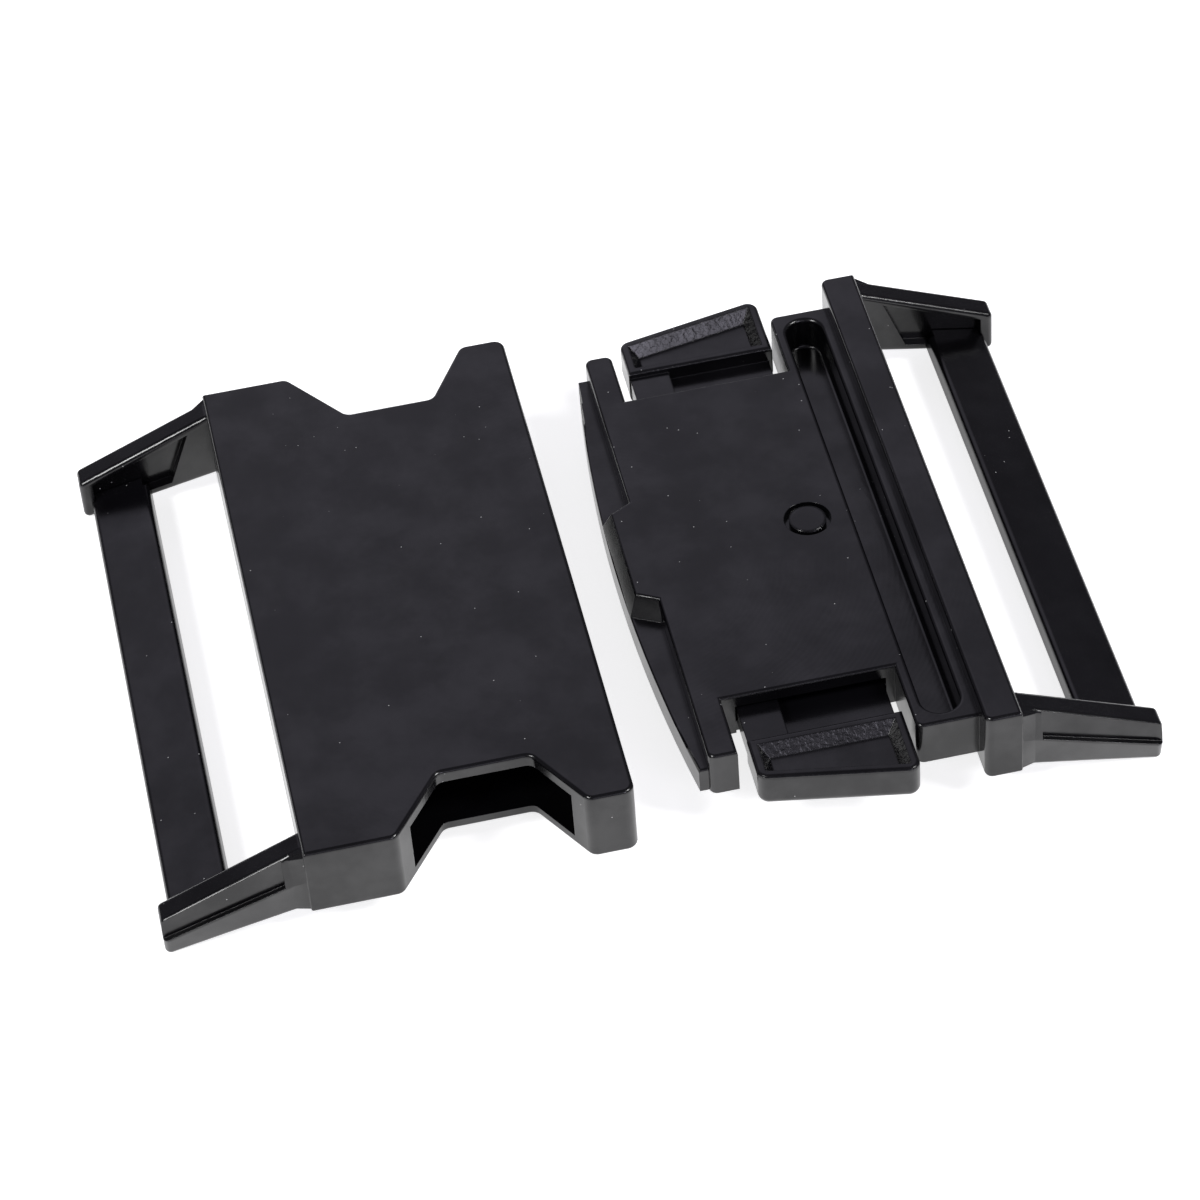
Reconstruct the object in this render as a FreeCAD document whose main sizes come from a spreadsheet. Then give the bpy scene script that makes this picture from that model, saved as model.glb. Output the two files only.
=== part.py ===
import FreeCAD, Part
import os
import re
import Sketcher

# Side-release buckle for 50 mm webbing, die cast in metal with a black coat.
# The socket half is a hollow flat box with its mouth towards +X. The plug half
# slides into it along -X and is held by two sprung buttons, which come out
# through the side windows of the socket. Each half carries a flat bar on two
# arms that slope down behind it, and the webbing goes round that bar.
#
# X runs along the insertion axis, Y across the webbing, Z up. The origin is at
# the middle of the base: the four arm tips stand on Z = 0.

SIZES = {
    # both castings
    "half_width": 29.1,
    "body_height": 7.2,
    "mouth_x": -2.6,
    "rest_gap": 30.0,
    "edge_round": 0.35,
    "rim_round": 0.22,
    "fine_round": 0.12,
    "corner_round": 1.0,
    "overlap": 0.5,
    "cut_clear": 1.0,
    # socket box, measured back from its mouth
    "socket_length": 28.0,
    "cavity_depth": 26.4,
    "cavity_half_width": 27.2,
    "floor_wall": 1.0,
    "roof_wall": 1.2,
    "window_front": 4.0,
    "window_floor_front": 7.7,
    "window_floor_rear": 15.6,
    "window_rear": 20.2,
    "window_floor_reach": 22.9,
    # arms, measured outwards from the edge of the webbing slot
    "arm_length": 12.5,
    "arm_drop": 2.6,
    "arm_tip_top": 1.6,
    "arm_flare": 1.6,
    "flare_root": 0.3,
    "flare_inset": 0.02,
    "flare_step": 0.1,
    "arm_inner": 26.0,
    "arm_round": 0.5,
    "arm_top_reach": 28.3,
    "arm_ridge_reach": 28.8,
    "arm_foot_reach": 28.3,
    "ridge_depth_root": 3.3,
    "ridge_depth_tip": 2.1,
    "panel_start": 1.8,
    "panel_top_reach": 28.15,
    "panel_foot_reach": 28.3,
    "shelf_rise": 0.1,
    # recess for the bar's ends in the inner faces of the arms
    "recess_depth": 0.95,
    "recess_lip": 0.75,
    "recess_sill": 0.8,
    "recess_top_start": 2.0,
    "recess_sill_start": 4.1,
    "recess_end": 11.3,
    # webbing bar
    "bar_start": 6.1,
    "bar_width": 5.5,
    "bar_thickness": 1.8,
    "bar_side_gap": 0.1,
    "bar_tongue": 0.85,
    "bar_tongue_floor": 0.82,
    "bar_edge_round": 0.5,
    # plug casting, measured from the front face of its shoulder
    "shoulder_depth": 3.2,
    "plate_bottom": 1.2,
    "plate_top": 5.7,
    "strip_length": 5.4,
    "strip_half_width": 26.9,
    "pocket_end": 20.6,
    "pocket_reach": 19.4,
    "rail_half_width": 25.8,
    "nose_step": 23.1,
    "nose_front": 25.75,
    "nose_side_front": 23.9,
    "nose_half_width": 25.2,
    "nose_top_front": 24.9,
    "ledge_top": 3.7,
    "crown_half_width": 5.2,
    "crown_root_half_width": 6.2,
    "crown_flare": 1.1,
    "crown_front": 25.65,
    "crown_foot_half_width": 5.9,
    "groove_middle": 2.7,
    "groove_radius": 1.7,
    "groove_reach": 25.7,
    "groove_depth": 3.3,
    "plate_corner_round": 0.7,
    "plate_rim_round": 0.3,
    # chamber under the plate for the buttons' flanges and springs
    "chamber_roof": 4.4,
    "chamber_inner": 8.0,
    "chamber_shelf": 17.1,
    "chamber_front": 19.95,
    "chamber_rear": 5.75,
    "mouth_front": 19.4,
    "mouth_rear": 6.2,
    # cover under the plug
    "cover_front": 21.8,
    "cover_rear": 4.95,
    "cover_reach": 19.1,
    "cover_thickness": 1.15,
    "cover_gap": 0.05,
    "tongue_reach": 8.0,
    "tongue_length": 1.0,
    "tongue_thickness": 0.6,
    # rivet
    "rivet_place": 8.3,
    "rivet_radius": 1.0,
    "rivet_head_radius": 1.65,
    "rivet_head_depth": 0.55,
    "rivet_ring_radius": 2.1,
    "rivet_ring_depth": 0.6,
    "rivet_gap": 0.02,
    # buttons, for the one on the +Y side
    "pad_front": 19.4,
    "pad_rear": 5.9,
    "pad_inner": 23.7,
    "pad_outer_front": 28.2,
    "pad_outer_rear": 30.8,
    "pad_bottom": 1.25,
    "pad_top": 4.75,
    "pad_foot_round": 0.77,
    "dish_rim": 0.75,
    "dish_slope": 0.85,
    "dish_depth": 1.15,
    "flange_bottom": 2.42,
    "flange_top": 3.3,
    "flange_step_top": 4.2,
    "flange_step_end": 15.7,
    "flange_front": 19.3,
    "flange_rear": 6.3,
    "ear_front": 19.85,
    "ear_rear": 5.85,
    "ear_outer": 17.0,
    "flange_inner": 15.6,
    "boss_half_length": 1.5,
    "boss_depth": 1.4,
    "stud_radius": 0.45,
    "stud_length": 1.2,
    "spring_place": 12.8,
    "spring_height": 3.4,
    # spring
    "wire_radius": 0.14,
    "coil_radius": 0.72,
    "coil_turns": 8,
    "coil_end_gap": 0.2,
}

BOTH_SIDES = ((1, "left"), (-1, "right"))
TOUCHING = 1e-6
NEARBY = 0.1

# Height of the castings' undersides, with the rounded arm tips standing on Z = 0.
ARM_SLOPE = "(arm_drop / arm_length)"
BODY_LIFT = f"(arm_drop - arm_round * ({ARM_SLOPE} + sqrt(1 + {ARM_SLOPE} ^ 2) - 1))"

doc = FreeCAD.newDocument("Buckle")
sheet = doc.addObject("Spreadsheet::Sheet", "sizes")
for row, (alias, number) in enumerate(SIZES.items(), start=1):
    sheet.set(f"A{row}", alias)
    sheet.set(f"B{row}", str(number))
    sheet.setAlias(f"B{row}", alias)
doc.recompute()


# ---------------------------------------------------------------- helpers

def on_sheet(formula):
    """A formula in the sheet's words, with each word pointing at its cell."""
    return re.sub(r"[a-z_]{3,}", lambda word: cell_of(word.group(0)), str(formula))


def cell_of(word):
    return f"sizes.{word}" if word in SIZES else word


def bind(thing, **formulas):
    for name, formula in formulas.items():
        thing.setExpression(name.replace("__", "."), on_sheet(formula))


def new_body(name, x="0", z=BODY_LIFT):
    body = doc.addObject("PartDesign::Body", name)
    body.Label = name
    bind(body, Placement__Base__x=x, Placement__Base__z=z)
    return body


def sketch_on(body, name, role, offset="0"):
    """An empty sketch on one of the body's own origin planes."""
    plane = next(f for f in body.Origin.OriginFeatures if f.Role == role)
    sketch = body.newObject("Sketcher::SketchObject", name)
    sketch.AttachmentSupport = [(plane, "")]
    sketch.MapMode = "FlatFace"
    sketch.setExpression("AttachmentOffset.Base.z", on_sheet(offset))
    return sketch


def fix_distance(sketch, kind, edge, end, formula):
    """Hold one end of an edge at a formula's distance from the sketch's origin."""
    now = sketch.getPoint(edge, end)
    value = now.x if kind == "DistanceX" else now.y
    number = sketch.addConstraint(Sketcher.Constraint(kind, -1, 1, edge, end, value))
    sketch.setExpression(f"Constraints[{number}]", on_sheet(formula))


def fix_point(sketch, edge, end, x, y):
    fix_distance(sketch, "DistanceX", edge, end, x)
    fix_distance(sketch, "DistanceY", edge, end, y)


def fix_radius(sketch, edge, radius):
    now = sketch.Geometry[edge].Radius
    number = sketch.addConstraint(Sketcher.Constraint("Radius", edge, now))
    sketch.setExpression(f"Constraints[{number}]", on_sheet(radius))


def outline(body, name, role, points, offset="0"):
    """A closed straight-sided outline through points given as formulas."""
    sketch = sketch_on(body, name, role, offset)
    count = len(points)
    spread = [FreeCAD.Vector(i, i * i, 0) for i in range(count)]
    for i in range(count):
        sketch.addGeometry(Part.LineSegment(spread[i], spread[(i + 1) % count]), False)
    for i in range(count):
        sketch.addConstraint(Sketcher.Constraint("Coincident", i, 2, (i + 1) % count, 1))
    for i, (x, y) in enumerate(points):
        fix_point(sketch, i, 1, x, y)
    return sketch


def circle(body, name, role, x, y, radius, offset="0"):
    sketch = sketch_on(body, name, role, offset)
    sketch.addGeometry(Part.Circle(FreeCAD.Vector(1, 1, 0), FreeCAD.Vector(0, 0, 1), 1), False)
    fix_point(sketch, 0, 3, x, y)
    fix_radius(sketch, 0, radius)
    return sketch


def box_points(low_x, high_x, low_y, high_y):
    return [(low_x, low_y), (high_x, low_y), (high_x, high_y), (low_x, high_y)]


def both_halves(points):
    """Points on the +Y side, followed by their mirror images in reverse."""
    return points + [(x, f"-({y})") for x, y in reversed(points)]


def extrude(kind, sketch, length, reverse=False, middle=False):
    """A Pad or a Pocket of the sketch; middle spreads it both ways."""
    body = sketch.getParentGeoFeatureGroup()
    feature = body.newObject(f"PartDesign::{kind}", f"{sketch.Name}_{kind.lower()}")
    feature.Profile = sketch
    feature.Reversed = reverse
    if middle:
        feature.SideType = "Symmetric"
    bind(feature, Length=length)
    return feature


def loft(kind, first, last):
    """Flat-sided loft between two outlines."""
    body = first.getParentGeoFeatureGroup()
    feature = body.newObject(f"PartDesign::{kind}Loft", f"{first.Name}_loft")
    feature.Profile = first
    feature.Sections = [last]
    feature.Ruled = True
    return feature


def round_edges(body, name, radius, chosen):
    """Round the edges of the body's last feature that chosen() picks."""
    doc.recompute()
    base = body.Tip
    names = [f"Edge{i}" for i, edge in enumerate(base.Shape.Edges, start=1) if chosen(edge)]
    if not names:
        raise RuntimeError(f"{name} finds no edge")
    feature = body.newObject("PartDesign::Fillet", name)
    feature.Base = (base, names)
    bind(feature, Radius=radius)
    return feature


def middle_of(edge):
    return edge.valueAt((edge.FirstParameter + edge.LastParameter) / 2)


def upright(edge):
    """True for a straight edge along Z."""
    box = edge.BoundBox
    return max(box.XLength, box.YLength) < TOUCHING < box.ZLength


def level(edge, height):
    """True for an edge that lies in the plane at this height."""
    box = edge.BoundBox
    return abs(box.ZMin - height) < TOUCHING and abs(box.ZMax - height) < TOUCHING


# ------------------------------------------------------- arms of a casting

def along_arm(root_value, tip_value, place):
    """A size that changes evenly from the arm's buried root to its tip."""
    part_way = f"(({place}) + overlap) / (arm_length + overlap)"
    return f"(({root_value}) + (({tip_value}) - ({root_value})) * {part_way})"


def arm_top(place):
    return along_arm("body_height", "arm_tip_top", place)


def arm_bottom(place):
    return f"(-arm_drop * ({place}) / arm_length)"


def ridge_depth(place):
    return along_arm("ridge_depth_root", "ridge_depth_tip", place)


def arm_outline(body, word, place, points, across):
    """One cross-section of an arm, from (reach, height) formulas."""
    return outline(body, f"{body.Label}_{word}", "YZ_Plane",
                   [(f"{across} * ({reach})", height) for reach, height in points], f"-({place})")


def turned_body(name, slot_edge, outward):
    """A body whose -X points outwards from the slot edge, whichever way that is."""
    body = new_body(name)
    body.Placement = FreeCAD.Placement(FreeCAD.Vector(), FreeCAD.Rotation(90 * (1 + outward), 0, 0))
    bind(body, Placement__Base__x=slot_edge, Placement__Base__z=BODY_LIFT)
    return body


def make_arm(name, slot_edge, outward, side):
    """One arm of a casting, behind the edge of its webbing slot.

    outward is 1 where the arm points to +X and -1 where it points to -X, and
    side is 1 on the +Y side. The arm is drawn pointing to -X and turned where
    it must point the other way. Places along it count from the slot edge.
    """
    body = turned_body(name, slot_edge, outward)
    across = -outward * side

    def whole(place):
        """Flat inner face, flat top, sloping upper panel and lower face."""
        top = arm_top(place)
        return [("arm_inner", arm_bottom(place)), ("arm_inner", top), ("arm_top_reach", top),
                ("arm_ridge_reach", f"{top} - {ridge_depth(place)}"),
                ("arm_foot_reach", arm_bottom(place))]

    def panel(place):
        """Cut above the ridge that leaves a narrow shelf below a steep panel."""
        top = f"{arm_top(place)} + cut_clear"
        shelf = f"{arm_top(place)} - {ridge_depth(place)} + shelf_rise"
        return [("panel_top_reach", top), ("panel_foot_reach", shelf),
                ("arm_ridge_reach + cut_clear", shelf), ("arm_ridge_reach + cut_clear", top)]

    loft("Additive",
         arm_outline(body, "root", "-overlap", whole("-overlap"), across),
         arm_outline(body, "tip", "arm_length", whole("arm_length"), across))
    round_edges(body, f"{name}_round", "arm_round", lambda edge: True)
    loft("Subtractive",
         arm_outline(body, "panel_start", "panel_start", panel("panel_start"), across),
         arm_outline(body, "panel_end", "arm_length + overlap", panel("arm_length + overlap"), across))

    recess = [
        ("-recess_top_start", f"{arm_top('recess_top_start')} - recess_lip"),
        ("-recess_sill_start", f"{arm_bottom('recess_sill_start')} + recess_sill"),
        ("-recess_end", f"{arm_bottom('recess_end')} + recess_sill"),
        ("-recess_end", f"{arm_top('recess_end')} - recess_lip"),
    ]
    sketch = outline(body, f"{name}_recess", "XZ_Plane", recess)
    extrude("Pocket", sketch, "2 * (arm_inner + recess_depth)", middle=True)
    return body


def make_flare(name, slot_edge, outward, side):
    """Wedge that leads the casting's side face over to the narrower arm."""
    body = turned_body(name, slot_edge, outward)
    across = -outward * side

    def wedge(place, top_reach, ridge_reach, foot_reach):
        top = f"({arm_top(place)} - flare_inset)"
        bottom = f"({arm_bottom(place)} + flare_inset)"
        return [("arm_inner + overlap", bottom), ("arm_inner + overlap", top),
                (f"{top_reach} - edge_round", top), (top_reach, f"{top} - edge_round"),
                (ridge_reach, f"{top} - {ridge_depth(place)}"),
                (foot_reach, f"{bottom} + edge_round"), (f"{foot_reach} - edge_round", bottom)]

    ends = [f"{reach} - flare_step" for reach in ("arm_top_reach", "arm_ridge_reach", "arm_foot_reach")]
    loft("Additive",
         arm_outline(body, "root", "-flare_root",
                     wedge("-flare_root", *["half_width - flare_inset"] * 3), across),
         arm_outline(body, "end", "arm_flare", wedge("arm_flare", *ends), across))
    return body


def cast(name, box, slot_edge, outward):
    """One casting: the box or plate body with an arm joined on at each side."""
    casting = doc.addObject("Part::MultiFuse", name)
    casting.Label = name
    pieces = [box]
    for side, word in BOTH_SIDES:
        pieces.append(make_arm(f"{name}_{word}_arm", slot_edge, outward, side))
        pieces.append(make_flare(f"{name}_{word}_flare", slot_edge, outward, side))
    casting.Shapes = pieces
    casting.Refine = True
    return casting


# ------------------------------------------------------------ socket half

def in_mouth(edge):
    """True for an edge of the cavity in the mouth's plane."""
    inside = abs(middle_of(edge).y) < SIZES["cavity_half_width"] + NEARBY
    low, high = SIZES["floor_wall"] - NEARBY, SIZES["body_height"] - SIZES["roof_wall"] + NEARBY
    across = low < middle_of(edge).z < high
    return inside and across and edge.BoundBox.XLength < TOUCHING and abs(middle_of(edge).x) < TOUCHING


def make_socket_body():
    body = new_body("socket_box", x="mouth_x")
    plan = both_halves([
        ("0", "half_width"),
        ("-window_front", "half_width"),
        ("-window_floor_front", "window_floor_reach"),
        ("-window_floor_rear", "window_floor_reach"),
        ("-window_rear", "half_width"),
        ("-socket_length", "half_width"),
    ])
    extrude("Pad", outline(body, "socket_plan", "XY_Plane", plan), "body_height")
    rear = -SIZES["socket_length"]
    round_edges(body, "socket_corners", "corner_round",
                lambda edge: upright(edge) and middle_of(edge).x > rear + NEARBY)
    round_edges(body, "arm_corners", "fine_round",
                lambda edge: upright(edge) and abs(middle_of(edge).x - rear) < TOUCHING)
    height = SIZES["body_height"]
    round_edges(body, "socket_rims", "edge_round", lambda edge: level(edge, 0) or level(edge, height))
    mouth = outline(body, "socket_cavity", "YZ_Plane",
                    box_points("-cavity_half_width", "cavity_half_width",
                               "floor_wall", "body_height - roof_wall"))
    extrude("Pocket", mouth, "cavity_depth")
    round_edges(body, "mouth_rim", "rim_round", in_mouth)
    return cast("socket_body", body, "mouth_x - socket_length", -1)


# -------------------------------------------------------------- plug half

def make_plug_body():
    body = new_body("plug_plate", x="mouth_x + rest_gap")
    shoulder = box_points("0", "shoulder_depth", "-half_width", "half_width")
    extrude("Pad", outline(body, "shoulder_plan", "XY_Plane", shoulder), "body_height")
    round_edges(body, "shoulder_front", "plate_corner_round",
                lambda edge: upright(edge) and abs(middle_of(edge).x) < TOUCHING)
    round_edges(body, "shoulder_rear", "fine_round",
                lambda edge: upright(edge) and middle_of(edge).x > SIZES["shoulder_depth"] - TOUCHING)
    height = SIZES["body_height"]
    round_edges(body, "shoulder_rims", "edge_round", lambda edge: level(edge, 0) or level(edge, height))
    add_plate(body)
    add_nose(body)
    add_top_cuts(body)
    add_chambers(body)
    return cast("plug_body", body, "mouth_x + rest_gap + shoulder_depth", 1)


def add_plate(body):
    """Flat plate with a strip behind the button pockets and a rail before them."""
    plan = both_halves([
        ("overlap", "strip_half_width"),
        ("-strip_length", "strip_half_width"),
        ("-strip_length", "pocket_reach"),
        ("-pocket_end", "pocket_reach"),
        ("-pocket_end", "rail_half_width"),
        ("-nose_step", "rail_half_width"),
    ])
    sketch = outline(body, "plate_plan", "XY_Plane", plan, "plate_bottom")
    extrude("Pad", sketch, "plate_top - plate_bottom")
    ends = (SIZES["strip_half_width"], SIZES["rail_half_width"])

    def outer_corner(edge):
        return upright(edge) and middle_of(edge).x < -NEARBY and abs(middle_of(edge).y) in ends

    round_edges(body, "plate_corners", "plate_corner_round", outer_corner)


def add_nose(body):
    """Bowed nose: low ledges left and right of a crown of full height."""
    sketch = sketch_on(body, "nose_plan", "XY_Plane", "plate_bottom")
    front, side = -SIZES["nose_front"], -SIZES["nose_side_front"]
    back, reach = -SIZES["nose_step"] + SIZES["overlap"], SIZES["nose_half_width"]
    corners = [FreeCAD.Vector(side, reach, 0), FreeCAD.Vector(side, -reach, 0),
               FreeCAD.Vector(back, -reach, 0), FreeCAD.Vector(back, reach, 0)]
    sketch.addGeometry(Part.Arc(corners[0], FreeCAD.Vector(front, 0, 0), corners[1]), False)
    for start, end in ((1, 2), (2, 3), (3, 0)):
        sketch.addGeometry(Part.LineSegment(corners[start], corners[end]), False)
    names = [("-nose_side_front", "nose_half_width"), ("-nose_side_front", "-nose_half_width"),
             ("-nose_step + overlap", "-nose_half_width"), ("-nose_step + overlap", "nose_half_width")]
    for edge, (start, end) in enumerate(((0, 1), (1, 2), (2, 3), (3, 0))):
        fix_point(sketch, edge, 1, *names[start])
        fix_point(sketch, edge, 2, *names[end])
    bow = "(nose_front - nose_side_front)"
    fix_radius(sketch, 0, f"(nose_half_width ^ 2 + {bow} ^ 2) / (2 * {bow})")
    extrude("Pad", sketch, "ledge_top - plate_bottom")
    ledge = SIZES["ledge_top"]
    round_edges(body, "ledge_rims", "rim_round",
                lambda edge: level(edge, ledge) and middle_of(edge).x < -SIZES["nose_step"] - NEARBY)

    foot = both_halves([("-nose_step + overlap", "crown_root_half_width + crown_flare"),
                        ("-nose_step", "crown_root_half_width + crown_flare"),
                        ("-crown_front", "crown_foot_half_width")])
    crown = both_halves([("-nose_step + overlap", "crown_root_half_width"),
                         ("-nose_step", "crown_root_half_width"),
                         ("-nose_top_front", "crown_half_width")])
    loft("Additive", outline(body, "crown_foot", "XY_Plane", foot, "ledge_top"),
         outline(body, "crown_top", "XY_Plane", crown, "plate_top"))
    top = SIZES["plate_top"]
    round_edges(body, "plate_rims", "plate_rim_round",
                lambda edge: level(edge, top) and middle_of(edge).x < -NEARBY)


def add_top_cuts(body):
    """Long groove in the strip, and the hole and ring round the rivet."""
    groove = sketch_on(body, "strip_groove", "XY_Plane", "plate_top - groove_depth")
    middle, radius = -SIZES["groove_middle"], SIZES["groove_radius"]
    reach = SIZES["groove_reach"] - radius
    left, right = middle - radius, middle + radius
    stops = [FreeCAD.Vector(x, y, 0) for x, y in (
        (right, reach), (middle, reach + radius), (left, reach),
        (left, -reach), (middle, -reach - radius), (right, -reach))]
    groove.addGeometry(Part.Arc(stops[0], stops[1], stops[2]), False)
    groove.addGeometry(Part.LineSegment(stops[2], stops[3]), False)
    groove.addGeometry(Part.Arc(stops[3], stops[4], stops[5]), False)
    groove.addGeometry(Part.LineSegment(stops[5], stops[0]), False)
    for edge, half in ((0, ""), (2, "-")):
        end_line = f"{half}(groove_reach - groove_radius)"
        fix_point(groove, edge, 3, "-groove_middle", end_line)
        fix_radius(groove, edge, "groove_radius")
        for end in (1, 2):
            fix_distance(groove, "DistanceY", edge, end, end_line)
    for edge, sign, first in ((1, "-", ""), (3, "+", "-")):
        wall = f"-groove_middle {sign} groove_radius"
        fix_point(groove, edge, 1, wall, f"{first}(groove_reach - groove_radius)")
        fix_point(groove, edge, 2, wall, f"-({first}(groove_reach - groove_radius))")
    extrude("Pocket", groove, "groove_depth + cut_clear", reverse=True)
    top = SIZES["plate_top"]
    floor = top - SIZES["groove_depth"]

    def groove_edge(edge):
        on_rim_or_floor = level(edge, top) or level(edge, floor)
        near = abs(middle_of(edge).x - middle) < radius + NEARBY
        return on_rim_or_floor and near and edge.BoundBox.YLength > NEARBY

    round_edges(body, "groove_rounds", "edge_round", groove_edge)

    ring = circle(body, "rivet_ring", "XY_Plane", "-rivet_place", "0", "rivet_ring_radius",
                  "plate_top - rivet_ring_depth")
    extrude("Pocket", ring, "rivet_ring_depth + cut_clear", reverse=True)
    hole = circle(body, "rivet_hole", "XY_Plane", "-rivet_place", "0", "rivet_radius + rivet_gap")
    extrude("Pocket", hole, "body_height", reverse=True)


def add_chambers(body):
    """Cuts from below for the buttons' flanges, the springs and the cover."""
    seat = outline(body, "cover_seat", "XY_Plane",
                   box_points("-cover_front - cover_gap", "-cover_rear + cover_gap",
                              "-cover_reach - cover_gap", "cover_reach + cover_gap"))
    extrude("Pocket", seat, "plate_bottom + cover_thickness + cover_gap", reverse=True)
    slot = outline(body, "tongue_slot", "YZ_Plane",
                   box_points("-tongue_reach - cover_gap", "tongue_reach + cover_gap",
                              "plate_bottom + cover_thickness - tongue_thickness - cover_gap",
                              "plate_bottom + cover_thickness + cover_gap"),
                   "-cover_front - tongue_length - cover_gap")
    extrude("Pocket", slot, "tongue_length + cut_clear", reverse=True)
    for side, word in BOTH_SIDES:
        room = outline(body, f"{word}_chamber", "XY_Plane",
                       box_points("-chamber_front", "-chamber_rear",
                                  f"{side} * chamber_inner", f"{side} * chamber_shelf"))
        extrude("Pocket", room, "chamber_roof", reverse=True)
        way_out = outline(body, f"{word}_chamber_mouth", "XY_Plane",
                          box_points("-mouth_front", "-mouth_rear",
                                     f"{side} * (chamber_shelf - overlap)",
                                     f"{side} * (pocket_reach + cut_clear)"))
        extrude("Pocket", way_out, "chamber_roof", reverse=True)


def make_cover():
    """Plate under the plug, with a tongue that tucks into the nose."""
    body = new_body("plug_cover", x="mouth_x + rest_gap")
    plate = outline(body, "cover_plan", "XY_Plane",
                    box_points("-cover_front", "-cover_rear", "-cover_reach", "cover_reach"),
                    "plate_bottom")
    extrude("Pad", plate, "cover_thickness")
    tongue = outline(body, "cover_tongue", "XY_Plane",
                     box_points("-cover_front - tongue_length", "-cover_front + overlap",
                                "-tongue_reach", "tongue_reach"),
                     "plate_bottom + cover_thickness - tongue_thickness")
    extrude("Pad", tongue, "tongue_thickness")
    sink = circle(body, "cover_sink", "XY_Plane", "-rivet_place", "0",
                  "rivet_head_radius + rivet_gap", "plate_bottom")
    extrude("Pocket", sink, "rivet_head_depth", reverse=True)
    hole = circle(body, "cover_hole", "XY_Plane", "-rivet_place", "0", "rivet_radius + rivet_gap")
    extrude("Pocket", hole, "body_height", reverse=True)
    return body


def make_rivet():
    """Riveted stud: a flat head in the ring on top, a peened head in the cover."""
    body = new_body("cover_rivet", x="mouth_x + rest_gap - rivet_place")
    top = "plate_top - rivet_gap"
    under_top = "plate_top - rivet_ring_depth + rivet_gap"
    over_foot = "plate_bottom + rivet_head_depth - rivet_gap"
    half = [
        ("0", "plate_bottom + rivet_gap"),
        ("rivet_head_radius", "plate_bottom + rivet_gap"),
        ("rivet_head_radius", over_foot),
        ("rivet_radius", over_foot),
        ("rivet_radius", under_top),
        ("rivet_head_radius", under_top),
        ("rivet_head_radius", top),
        ("0", top),
    ]
    sketch = outline(body, "rivet_half", "XZ_Plane", half)
    turned = body.newObject("PartDesign::Revolution", "rivet_turned")
    turned.Profile = sketch
    turned.ReferenceAxis = (sketch, ["V_Axis"])
    turned.Angle = 360
    return body


def make_button(side, word):
    """Press button: dished pad outside, flange with ears and a spring stud inside."""
    name = f"{word}_button"
    body = new_body(name, x="mouth_x + rest_gap")

    def across(formula):
        return f"{side} * ({formula})"

    pad = [("-pad_front", across("pad_inner")), ("-pad_rear", across("pad_inner")),
           ("-pad_rear", across("pad_outer_rear")), ("-pad_front", across("pad_outer_front"))]
    extrude("Pad", outline(body, f"{name}_pad", "XY_Plane", pad, "pad_bottom"), "pad_top - pad_bottom")

    def outer_corner(edge):
        return upright(edge) and abs(middle_of(edge).y) > SIZES["pad_inner"] + NEARBY

    def outer_foot(edge):
        return level(edge, SIZES["pad_bottom"]) and abs(middle_of(edge).y) > SIZES["pad_inner"] + NEARBY

    def rim(edge):
        return level(edge, SIZES["pad_top"])

    round_edges(body, f"{name}_corners", "corner_round", outer_corner)
    round_edges(body, f"{name}_foot", "pad_foot_round", outer_foot)
    round_edges(body, f"{name}_rim", "edge_round", rim)

    def dish(inset):
        """The pad's outline moved in by the inset on every side."""
        drift = f"({inset}) * (pad_outer_rear - pad_outer_front) / (pad_front - pad_rear)"
        return [(f"-pad_front + {inset}", across(f"pad_inner + {inset}")),
                (f"-pad_rear - {inset}", across(f"pad_inner + {inset}")),
                (f"-pad_rear - {inset}", across(f"pad_outer_rear - {inset} - {drift}")),
                (f"-pad_front + {inset}", across(f"pad_outer_front - {inset} + {drift}"))]

    loft("Subtractive",
         outline(body, f"{name}_dish_rim", "XY_Plane", dish("dish_rim"), "pad_top"),
         outline(body, f"{name}_dish_floor", "XY_Plane", dish("(dish_rim + dish_slope)"),
                 "pad_top - dish_depth"))

    inner, outer = across("flange_inner"), across("pad_inner + overlap")
    flange = box_points("-flange_front", "-flange_rear", inner, outer)
    extrude("Pad", outline(body, f"{name}_flange", "XY_Plane", flange, "flange_bottom"),
            "flange_top - flange_bottom")
    step = box_points("-flange_front", "-flange_step_end", inner, outer)
    extrude("Pad", outline(body, f"{name}_step", "XY_Plane", step, "flange_bottom"),
            "flange_step_top - flange_bottom")
    ears = box_points("-ear_front", "-ear_rear", inner, across("ear_outer"))
    extrude("Pad", outline(body, f"{name}_ears", "XY_Plane", ears, "flange_bottom"),
            "flange_top - flange_bottom")
    boss = box_points("-spring_place - boss_half_length", "-spring_place + boss_half_length",
                      inner, across("flange_inner + boss_depth"))
    extrude("Pad", outline(body, f"{name}_boss", "XY_Plane", boss, "flange_bottom"),
            "flange_step_top - flange_bottom")
    stud = circle(body, f"{name}_stud", "XZ_Plane", "-spring_place", "spring_height", "stud_radius",
                  f"-{side} * (flange_inner + overlap)")
    extrude("Pad", stud, "stud_length + overlap", reverse=side < 0)
    return body


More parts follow.
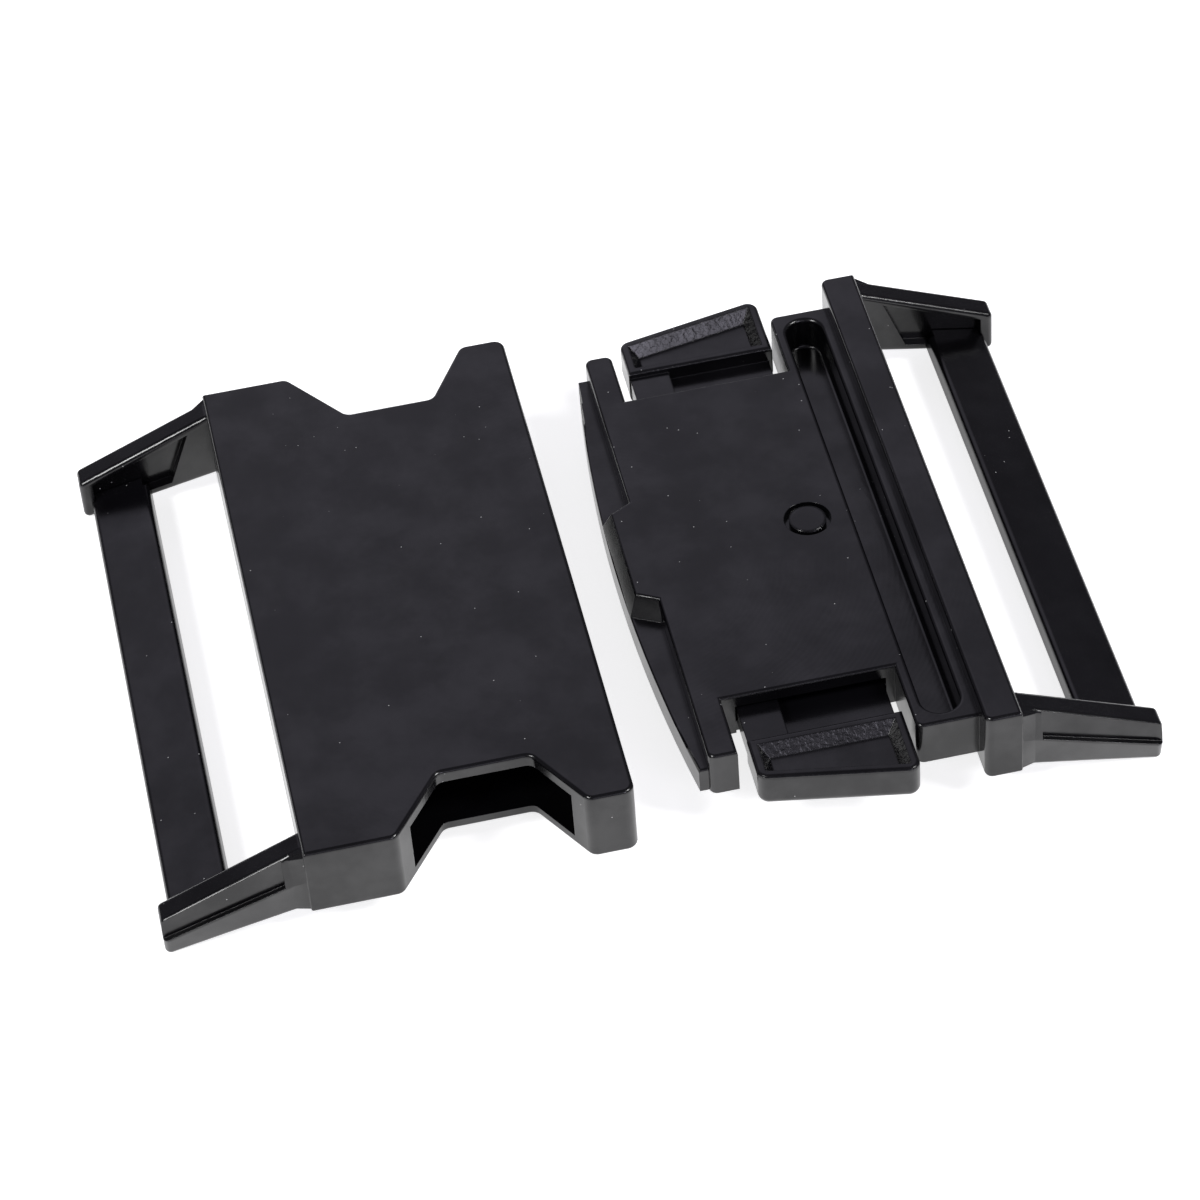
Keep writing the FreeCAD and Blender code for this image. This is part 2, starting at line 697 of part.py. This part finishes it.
def make_bar(name, x, outward):
    """Flat webbing bar; its ends are thinner and ride in the arms' recesses."""
    body = new_body(name, x=x)
    tilt_axis = FreeCAD.Vector(0, outward, 0)
    body.Placement = FreeCAD.Placement(FreeCAD.Vector(), FreeCAD.Rotation(tilt_axis, 45))
    bind(body, Placement__Base__x=x, Placement__Base__z=BODY_LIFT,
         Placement__Rotation__Angle=f"atan({ARM_SLOPE})")

    def section(floor):
        return box_points(f"{outward} * bar_start", f"{outward} * (bar_start + bar_width)",
                          floor, "bar_thickness")

    main = outline(body, f"{name}_section", "XZ_Plane", section("0"))
    extrude("Pad", main, "2 * (arm_inner - bar_side_gap)", middle=True)

    def long_edge(edge):
        return edge.BoundBox.YLength > SIZES["bar_width"]

    round_edges(body, f"{name}_edges", "bar_edge_round", long_edge)
    ends = outline(body, f"{name}_ends", "XZ_Plane",
                   box_points(f"{outward} * (bar_start + bar_edge_round)",
                              f"{outward} * (bar_start + bar_width - bar_edge_round)",
                              "bar_tongue_floor", "bar_thickness"))
    extrude("Pad", ends, "2 * (arm_inner + bar_tongue)", middle=True)
    return body


def make_spring(side, word):
    """Coil spring along Y between the chamber's inner wall and the flange."""
    name = f"{word}_spring"
    helix = doc.addObject("Part::Helix", f"{name}_helix")
    length = "(flange_inner - chamber_inner - 2 * coil_end_gap)"
    bind(helix, Radius="coil_radius", Height=length, Pitch=f"{length} / coil_turns")
    wire = doc.addObject("Part::Circle", f"{name}_wire")
    wire.Placement = FreeCAD.Placement(FreeCAD.Vector(), FreeCAD.Rotation(FreeCAD.Vector(1, 0, 0), 90))
    bind(wire, Radius="wire_radius", Placement__Base__x="coil_radius")
    coil = doc.addObject("Part::Sweep", name)
    coil.Label = name
    coil.Sections = [wire]
    coil.Spine = (helix, [])
    coil.Solid = True
    coil.Frenet = True
    coil.Placement = FreeCAD.Placement(FreeCAD.Vector(), FreeCAD.Rotation(FreeCAD.Vector(-side, 0, 0), 90))
    bind(coil, Placement__Base__x="mouth_x + rest_gap - spring_place",
         Placement__Base__y=f"{side} * (chamber_inner + coil_end_gap)",
         Placement__Base__z=f"{BODY_LIFT} + spring_height")
    return coil


# ---------------------------------------------------------------- assembly

def make_all():
    parts = [make_socket_body(), make_bar("socket_bar", "mouth_x - socket_length", -1),
             make_plug_body(), make_bar("plug_bar", "mouth_x + rest_gap + shoulder_depth", 1),
             make_cover(), make_rivet()]
    for side, word in BOTH_SIDES:
        parts.append(make_button(side, word))
        parts.append(make_spring(side, word))
    return parts


def check(parts):
    """Stop on any failed object, or any part that is not one valid solid."""
    for thing in doc.Objects:
        if "Invalid" in thing.State or "Error" in thing.State:
            raise RuntimeError(f"{thing.Name} did not build: {thing.State}")
    for part in parts:
        shape = part.Shape
        if shape.isNull() or not shape.isValid() or len(shape.Solids) != 1:
            raise RuntimeError(f"{part.Label} is not one valid solid")


def write(parts):
    os.makedirs("parts", exist_ok=True)
    for part in parts:
        part.Shape.exportStep(f"parts/{part.Label}.step")
        box = part.Shape.BoundBox
        print(f"{part.Label:14s} {part.Shape.Volume:9.2f} mm3  X {box.XMin:.2f} {box.XMax:.2f}"
              f"  Y {box.YMin:.2f} {box.YMax:.2f}  Z {box.ZMin:.2f} {box.ZMax:.2f}")


all_parts = make_all()
doc.recompute()
check(all_parts)
write(all_parts)
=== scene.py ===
import bpy
import math
from mathutils import Matrix, Vector


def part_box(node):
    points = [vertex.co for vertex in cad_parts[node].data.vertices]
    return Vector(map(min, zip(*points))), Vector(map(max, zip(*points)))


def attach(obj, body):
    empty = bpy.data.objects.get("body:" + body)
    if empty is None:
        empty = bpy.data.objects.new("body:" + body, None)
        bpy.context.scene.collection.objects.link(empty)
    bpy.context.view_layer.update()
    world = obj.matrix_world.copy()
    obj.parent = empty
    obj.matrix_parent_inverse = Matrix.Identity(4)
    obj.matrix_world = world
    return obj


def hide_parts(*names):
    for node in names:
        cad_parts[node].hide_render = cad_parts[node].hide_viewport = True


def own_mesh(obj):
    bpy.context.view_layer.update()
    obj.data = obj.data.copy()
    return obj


# Side-release buckle in two halves, both in black-coated die-cast metal, on a
# plain white table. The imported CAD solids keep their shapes. This script gives
# them their coats and adds the two coil springs.

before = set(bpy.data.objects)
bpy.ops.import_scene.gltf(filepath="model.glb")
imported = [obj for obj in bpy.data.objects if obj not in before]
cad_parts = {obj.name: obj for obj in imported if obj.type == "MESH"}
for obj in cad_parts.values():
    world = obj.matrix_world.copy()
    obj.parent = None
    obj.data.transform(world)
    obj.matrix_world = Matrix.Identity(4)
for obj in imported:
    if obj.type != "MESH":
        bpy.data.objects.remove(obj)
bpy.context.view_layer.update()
MM = 0.001

# The camera looks down on the buckle from the -Y side, a little from the left.
CAMERA_AZIMUTH = -8.3
CAMERA_ELEVATION = 44.9
CAMERA_ROLL = -5.0
CAMERA_DISTANCE = 394.6 * MM
CAMERA_TARGET = Vector((-0.2, -1.9, 5.0)) * MM
CAMERA_LENS = 134.85


# ------------------------------------------------------------------ camera

def add_camera():
    azimuth, elevation, roll = (math.radians(a) for a in (CAMERA_AZIMUTH, CAMERA_ELEVATION, CAMERA_ROLL))
    forward = Vector((-math.sin(azimuth) * math.cos(elevation),
                      math.cos(azimuth) * math.cos(elevation),
                      -math.sin(elevation)))
    level = forward.cross(Vector((0, 0, 1))).normalized()
    right = math.cos(roll) * level + math.sin(roll) * level.cross(forward)
    up = right.cross(forward)
    data = bpy.data.cameras.new("camera")
    data.lens = CAMERA_LENS
    data.sensor_width = 36
    data.clip_start = 0.01
    camera = bpy.data.objects.new("camera", data)
    turn = Matrix((right, up, -forward)).transposed().to_4x4()
    camera.matrix_world = Matrix.Translation(CAMERA_TARGET - forward * CAMERA_DISTANCE) @ turn
    bpy.context.scene.collection.objects.link(camera)
    bpy.context.scene.camera = camera


# ------------------------------------------------------------------- nodes

class Nodes:
    """A material's node tree, with short calls for the nodes used here."""

    def __init__(self, name):
        self.material = bpy.data.materials.new(name)
        self.material.use_nodes = True
        self.tree = self.material.node_tree
        self.tree.nodes.clear()
        self.place = self.add("ShaderNodeTexCoord").outputs["Object"]

    def add(self, kind, settings=None, **inputs):
        """A node; inputs are given by name, as a value or another node's output."""
        node = self.tree.nodes.new(kind)
        for key, value in (settings or {}).items():
            setattr(node, key, value)
        for key, value in inputs.items():
            self.feed(node.inputs[key.replace("_", " ")], value)
        return node

    def feed(self, socket, value):
        if isinstance(value, bpy.types.NodeSocket):
            self.tree.links.new(value, socket)
        else:
            socket.default_value = value

    def noise(self, size, detail=2.0, roughness=0.5, place=None):
        """Noise with features of about this size in metres, from 0 to 1."""
        return self.add("ShaderNodeTexNoise", Vector=place or self.place, Scale=1 / size,
                        Detail=detail, Roughness=roughness).outputs["Fac"]

    def ramp(self, value, low, high, to_low=0.0, to_high=1.0):
        """The value from low to high, mapped to the other two with smooth ends."""
        node = self.add("ShaderNodeMapRange", {"interpolation_type": "SMOOTHSTEP"}, Value=value)
        ends = {"From Min": low, "From Max": high, "To Min": to_low, "To Max": to_high}
        for key, number in ends.items():
            node.inputs[key].default_value = number
        return node.outputs["Result"]

    def maths(self, operation, *values):
        node = self.add("ShaderNodeMath", {"operation": operation})
        for socket, value in zip(node.inputs, values):
            self.feed(socket, value)
        return node.outputs["Value"]

    def mix(self, factor, first, second):
        """A mix of two colours."""
        node = self.add("ShaderNodeMix", {"data_type": "RGBA"}, Factor=factor)
        for socket, value in ((node.inputs[6], first), (node.inputs[7], second)):
            self.feed(socket, value)
        return node.outputs[2]

    def bump(self, height, depth, normal=None):
        """A bump whose height runs over this depth in metres."""
        node = self.add("ShaderNodeBump", Height=height, Distance=depth, Strength=1.0)
        if normal is not None:
            self.feed(node.inputs["Normal"], normal)
        return node.outputs["Normal"]

    def finish(self, **inputs):
        shader = self.add("ShaderNodeBsdfPrincipled", **inputs)
        output = self.add("ShaderNodeOutputMaterial")
        self.tree.links.new(shader.outputs["BSDF"], output.inputs["Surface"])
        return self.material


def colour(value, blue=0.0):
    """A grey, with this share more blue."""
    return (value * (1 + 0.2 * blue), value, value * (1 + blue), 1.0)


# --------------------------------------------------------------- materials

# Unevenness of the coats: how far apart it lies across the face, and how deep it is.
WAVE_SPACING = 12 * MM
WAVE_DEPTH = 0.05 * MM
PEEL_SPACING = 0.5 * MM
PEEL_DEPTH = 0.0012 * MM
RIPPLE_SCALE = 1.6 * MM
RIPPLE_DEPTH = 0.0014 * MM
RIPPLE_PATCHES = 16 * MM
GRAIN_SPACING = 0.45 * MM
GRAIN_DEPTH = 0.045 * MM

# Changes of colour and gloss across the coats.
CLOUD_SPACING = 14 * MM
WIPE_SPACING = 5 * MM
SMEAR_SPACING = 7 * MM
LEAST_GLOSS, MOST_GLOSS = 0.42, 0.6

# Dust: the specks' size is a share of their spacing, and some cells stay empty.
SPECK_SPACING = 1.3 * MM
SPECK_SIZE = 0.027
SPECK_SHARE = 0.5
DUST = colour(0.4)

# How far the coat softens the edges below it.
EDGE_ROUND = 0.08 * MM
BUTTON_EDGE_ROUND = 0.2 * MM
RIVET_EDGE_ROUND = 0.4 * MM


def specks(nodes):
    """Dust specks: a small dot in a share of the cells of a random grid."""
    cells = nodes.add("ShaderNodeTexVoronoi", Vector=nodes.place, Scale=1 / SPECK_SPACING)
    dot = nodes.ramp(cells.outputs["Distance"], SPECK_SIZE, SPECK_SIZE * 2, 1.0, 0.0)
    pick = nodes.add("ShaderNodeSeparateColor", Color=cells.outputs["Color"]).outputs["Red"]
    chosen = nodes.maths("LESS_THAN", pick, SPECK_SHARE)
    return nodes.maths("MULTIPLY", dot, chosen)


def ripples(nodes):
    """Faint flow lines of the casting: rings in a few patches, and none between them."""
    bent = nodes.add("ShaderNodeTexWave", {"wave_type": "RINGS", "rings_direction": "Z"},
                     Vector=nodes.place, Scale=1 / RIPPLE_SCALE, Distortion=9.0, Detail=1.0)
    bent.inputs["Detail Scale"].default_value = 0.35
    patches = nodes.ramp(nodes.noise(RIPPLE_PATCHES), 0.52, 0.66)
    return nodes.maths("MULTIPLY", bent.outputs["Fac"], patches)


def grainy_slopes(nodes, normal):
    """A grainy skin on slopes about as steep as the sides of the buttons' dishes."""
    facing = nodes.add("ShaderNodeTexCoord").outputs["Normal"]
    up = nodes.add("ShaderNodeSeparateXYZ", Vector=facing).outputs["Z"]
    not_level = nodes.ramp(up, 0.7, 0.8, 1.0, 0.0)
    not_upright = nodes.ramp(up, 0.35, 0.5)
    sloping = nodes.maths("MULTIPLY", not_level, not_upright)
    grain = nodes.maths("MULTIPLY", nodes.noise(GRAIN_SPACING, 3.0), sloping)
    return nodes.bump(grain, GRAIN_DEPTH, normal)


def coat(name, grey, roughness, edge=EDGE_ROUND, peel=PEEL_DEPTH, rippled=False, grainy=False):
    """Semi-gloss black coat over cast or pressed metal."""
    nodes = Nodes(name)
    rounded = nodes.add("ShaderNodeBevel", {"samples": 6}, Radius=edge).outputs["Normal"]
    normal = nodes.bump(nodes.noise(WAVE_SPACING, 1.0), WAVE_DEPTH, rounded)
    normal = nodes.bump(nodes.noise(PEEL_SPACING, 2.0), peel, normal)
    if rippled:
        normal = nodes.bump(ripples(nodes), RIPPLE_DEPTH, normal)
    if grainy:
        normal = grainy_slopes(nodes, normal)
    cloud = nodes.ramp(nodes.noise(CLOUD_SPACING, 3.0), 0.3, 0.7)
    base = nodes.mix(cloud, colour(grey * 0.8, 0.25), colour(grey * 1.2, 0.35))
    base = nodes.mix(specks(nodes), base, DUST)
    wipe = nodes.noise(WIPE_SPACING, 4.0, 0.6)
    sheen = nodes.ramp(wipe, 0.3, 0.7, roughness - 0.03, roughness + 0.04)
    smear = nodes.noise(SMEAR_SPACING, 4.0, 0.65)
    gloss = nodes.ramp(smear, 0.35, 0.7, LEAST_GLOSS, MOST_GLOSS)
    return nodes.finish(Base_Color=base, Roughness=sheen, Normal=normal, Specular_IOR_Level=gloss)


def spring_steel():
    """Drawn wire: bright steel with fine lines and a faint oil film."""
    nodes = Nodes("spring_steel")
    lines = nodes.noise(0.12 * MM, 3.0)
    film = nodes.ramp(nodes.noise(0.9 * MM), 0.35, 0.65)
    base = nodes.mix(film, colour(0.5, -0.02), colour(0.62, 0.01))
    rough = nodes.ramp(lines, 0.3, 0.7, 0.22, 0.38)
    return nodes.finish(Base_Color=base, Metallic=1.0, Roughness=rough,
                        Normal=nodes.bump(lines, 0.002 * MM))


def paint_nodes():
    casting = coat("casting_coat", 0.002, 0.2, rippled=True)
    bar = coat("bar_coat", 0.0022, 0.22)
    button = coat("button_coat", 0.002, 0.19, edge=BUTTON_EDGE_ROUND, peel=0.004 * MM, grainy=True)
    finishes = {
        "socket_body": casting,
        "plug_body": casting,
        "socket_bar": bar,
        "plug_bar": bar,
        "plug_cover": coat("cover_coat", 0.0025, 0.28),
        "cover_rivet": coat("rivet_coat", 0.002, 0.18, edge=RIVET_EDGE_ROUND),
        "left_button": button,
        "right_button": button,
    }
    for name, material in finishes.items():
        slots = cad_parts[name].data.materials
        slots.clear()
        slots.append(material)


# ----------------------------------------------------------------- springs

WIRE_RADIUS = 0.14 * MM
SPRING_TURNS = 8
DEAD_TURNS = 1.0
DEAD_PITCH = 2.2 * WIRE_RADIUS
STEPS_PER_TURN = 28
WIRE_SIDES = 10


def rise(turn, length):
    """How far along the spring the wire is: the end turns lie flat against each other."""
    open_turns = SPRING_TURNS - 2 * DEAD_TURNS
    open_pitch = (length - 2 * DEAD_TURNS * DEAD_PITCH) / open_turns
    start = min(turn, DEAD_TURNS)
    end = max(turn - (SPRING_TURNS - DEAD_TURNS), 0)
    return DEAD_PITCH * (start + end) + open_pitch * (turn - start - end)


def coil_mesh(name, low, high, facing):
    """A round wire wound into a coil that fills the box from low to high along Y."""
    middle = (low + high) / 2
    radius = (high.x - low.x) / 2 - WIRE_RADIUS
    length = high.y - low.y - 2 * WIRE_RADIUS
    start_y = low.y + WIRE_RADIUS if facing > 0 else high.y - WIRE_RADIUS
    count = SPRING_TURNS * STEPS_PER_TURN + 1
    line = []
    for i in range(count):
        turn = i / STEPS_PER_TURN
        angle = 2 * math.pi * turn
        line.append(Vector((middle.x + radius * math.cos(angle),
                            start_y + facing * rise(turn, length),
                            middle.z + radius * math.sin(angle))))
    points, faces = [], []
    for i, centre in enumerate(line):
        along = (line[min(i + 1, count - 1)] - line[max(i - 1, 0)]).normalized()
        outward = Vector((centre.x - middle.x, 0, centre.z - middle.z)).normalized()
        outward = (outward - along * outward.dot(along)).normalized()
        side = along.cross(outward)
        for k in range(WIRE_SIDES):
            angle = 2 * math.pi * k / WIRE_SIDES
            points.append(centre + WIRE_RADIUS * (math.cos(angle) * outward + math.sin(angle) * side))
    for i in range(count - 1):
        for k in range(WIRE_SIDES):
            here, beside = i * WIRE_SIDES + k, i * WIRE_SIDES + (k + 1) % WIRE_SIDES
            faces.append((here, beside, beside + WIRE_SIDES, here + WIRE_SIDES))
    faces.append(tuple(range(WIRE_SIDES))[::-1])
    faces.append(tuple(range((count - 1) * WIRE_SIDES, count * WIRE_SIDES)))
    mesh = bpy.data.meshes.new(name)
    mesh.from_pydata(points, [], faces)
    mesh.shade_smooth()
    return mesh


def add_springs():
    steel = spring_steel()
    for word, facing in (("left", 1), ("right", -1)):
        low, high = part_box(f"{word}_spring")
        mesh = coil_mesh(f"{word}_coil", low, high, facing)
        piece = bpy.data.objects.new(f"{word}_coil", mesh)
        bpy.context.scene.collection.objects.link(piece)
        piece.data.materials.append(steel)
        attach(piece, "plug")
        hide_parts(f"{word}_spring")
        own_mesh(piece)


# ------------------------------------------------------------------- stage

TABLE_REACH = 3.0
TABLE_GLOW = 0.9


def add_floor():
    """White translucent table, lit from below as well as from above."""
    low, high = -TABLE_REACH, TABLE_REACH
    corners = [(low, low, 0), (high, low, 0), (high, high, 0), (low, high, 0)]
    mesh = bpy.data.meshes.new("table")
    mesh.from_pydata(corners, [], [(0, 1, 2, 3)])
    floor = bpy.data.objects.new("table", mesh)
    bpy.context.scene.collection.objects.link(floor)
    nodes = Nodes("table_white")
    tone = nodes.ramp(nodes.noise(0.3), 0.2, 0.8, 0.86, 0.89)
    grey = nodes.add("ShaderNodeCombineColor", Red=tone, Green=tone, Blue=tone).outputs["Color"]
    mesh.materials.append(nodes.finish(Base_Color=grey, Roughness=0.9, Specular_IOR_Level=0.2,
                                       Emission_Color=grey, Emission_Strength=TABLE_GLOW))


# The two softboxes stand left and right of the camera.
SOFTBOX_AZIMUTH = 62
SOFTBOX_ELEVATION = 45
SOFTBOX_DISTANCE = 1.3
SOFTBOX_SIDE = 0.35
SOFTBOX_POWER = 8.5


def add_softbox(name, azimuth):
    """A soft square light that faces the buckle from this side."""
    data = bpy.data.lights.new(name, "AREA")
    data.shape = "SQUARE"
    data.size = SOFTBOX_SIDE
    data.energy = SOFTBOX_POWER
    light = bpy.data.objects.new(name, data)
    azimuth, elevation = math.radians(azimuth), math.radians(SOFTBOX_ELEVATION)
    away = Vector((math.sin(azimuth) * math.cos(elevation),
                   -math.cos(azimuth) * math.cos(elevation),
                   math.sin(elevation)))
    light.location = CAMERA_TARGET + away * SOFTBOX_DISTANCE
    light.rotation_euler = (-away).to_track_quat("-Z", "Y").to_euler()
    bpy.context.scene.collection.objects.link(light)


# Where each glow in the dim room lies, its strength and the angles where it
# starts and stops fading: a wide one behind the buckle, and two small ones in
# front of it that light the dishes of the buttons.
GLOWS = (
    (Vector((-0.06, 0.81, 0.58)), 0.5, 0, 31),
    (Vector((0.0, -0.88, 0.47)), 0.7, 3, 14),
    (Vector((0.36, -0.81, 0.47)), 4.5, 2, 11),
)

# Brightness of the room where no glow lies, and the tint of all its light.
ROOM = 0.13
ROOM_TINT = (0.98, 0.95, 1.12, 1)


def add_sky():
    """A dim room with soft glows, seen in the polished faces."""
    world = bpy.data.worlds.new("studio")
    bpy.context.scene.world = world
    world.use_nodes = True
    tree = world.node_tree
    place = tree.nodes.new("ShaderNodeTexCoord")
    room = tree.nodes.new("ShaderNodeValue")
    room.outputs["Value"].default_value = ROOM
    total = room.outputs["Value"]
    for way, strength, start, end in GLOWS:
        nearness = tree.nodes.new("ShaderNodeVectorMath")
        nearness.operation = "DOT_PRODUCT"
        nearness.inputs[1].default_value = way.normalized()
        tree.links.new(place.outputs["Generated"], nearness.inputs[0])
        fade = tree.nodes.new("ShaderNodeMapRange")
        fade.interpolation_type = "SMOOTHSTEP"
        fade.inputs["From Min"].default_value = math.cos(math.radians(end))
        fade.inputs["From Max"].default_value = math.cos(math.radians(start))
        fade.inputs["To Max"].default_value = strength
        tree.links.new(nearness.outputs["Value"], fade.inputs["Value"])
        add = tree.nodes.new("ShaderNodeMath")
        tree.links.new(fade.outputs["Result"], add.inputs[0])
        tree.links.new(total, add.inputs[1])
        total = add.outputs["Value"]
    background = tree.nodes["Background"]
    background.inputs["Color"].default_value = ROOM_TINT
    tree.links.new(total, background.inputs["Strength"])


def add_lights():
    add_sky()
    add_softbox("left_light", -SOFTBOX_AZIMUTH)
    add_softbox("right_light", SOFTBOX_AZIMUTH)
    bpy.context.scene.view_settings.view_transform = "Standard"


# ---------------------------------------------------------------- assembly

add_camera()
paint_nodes()
add_springs()
add_floor()
add_lights()
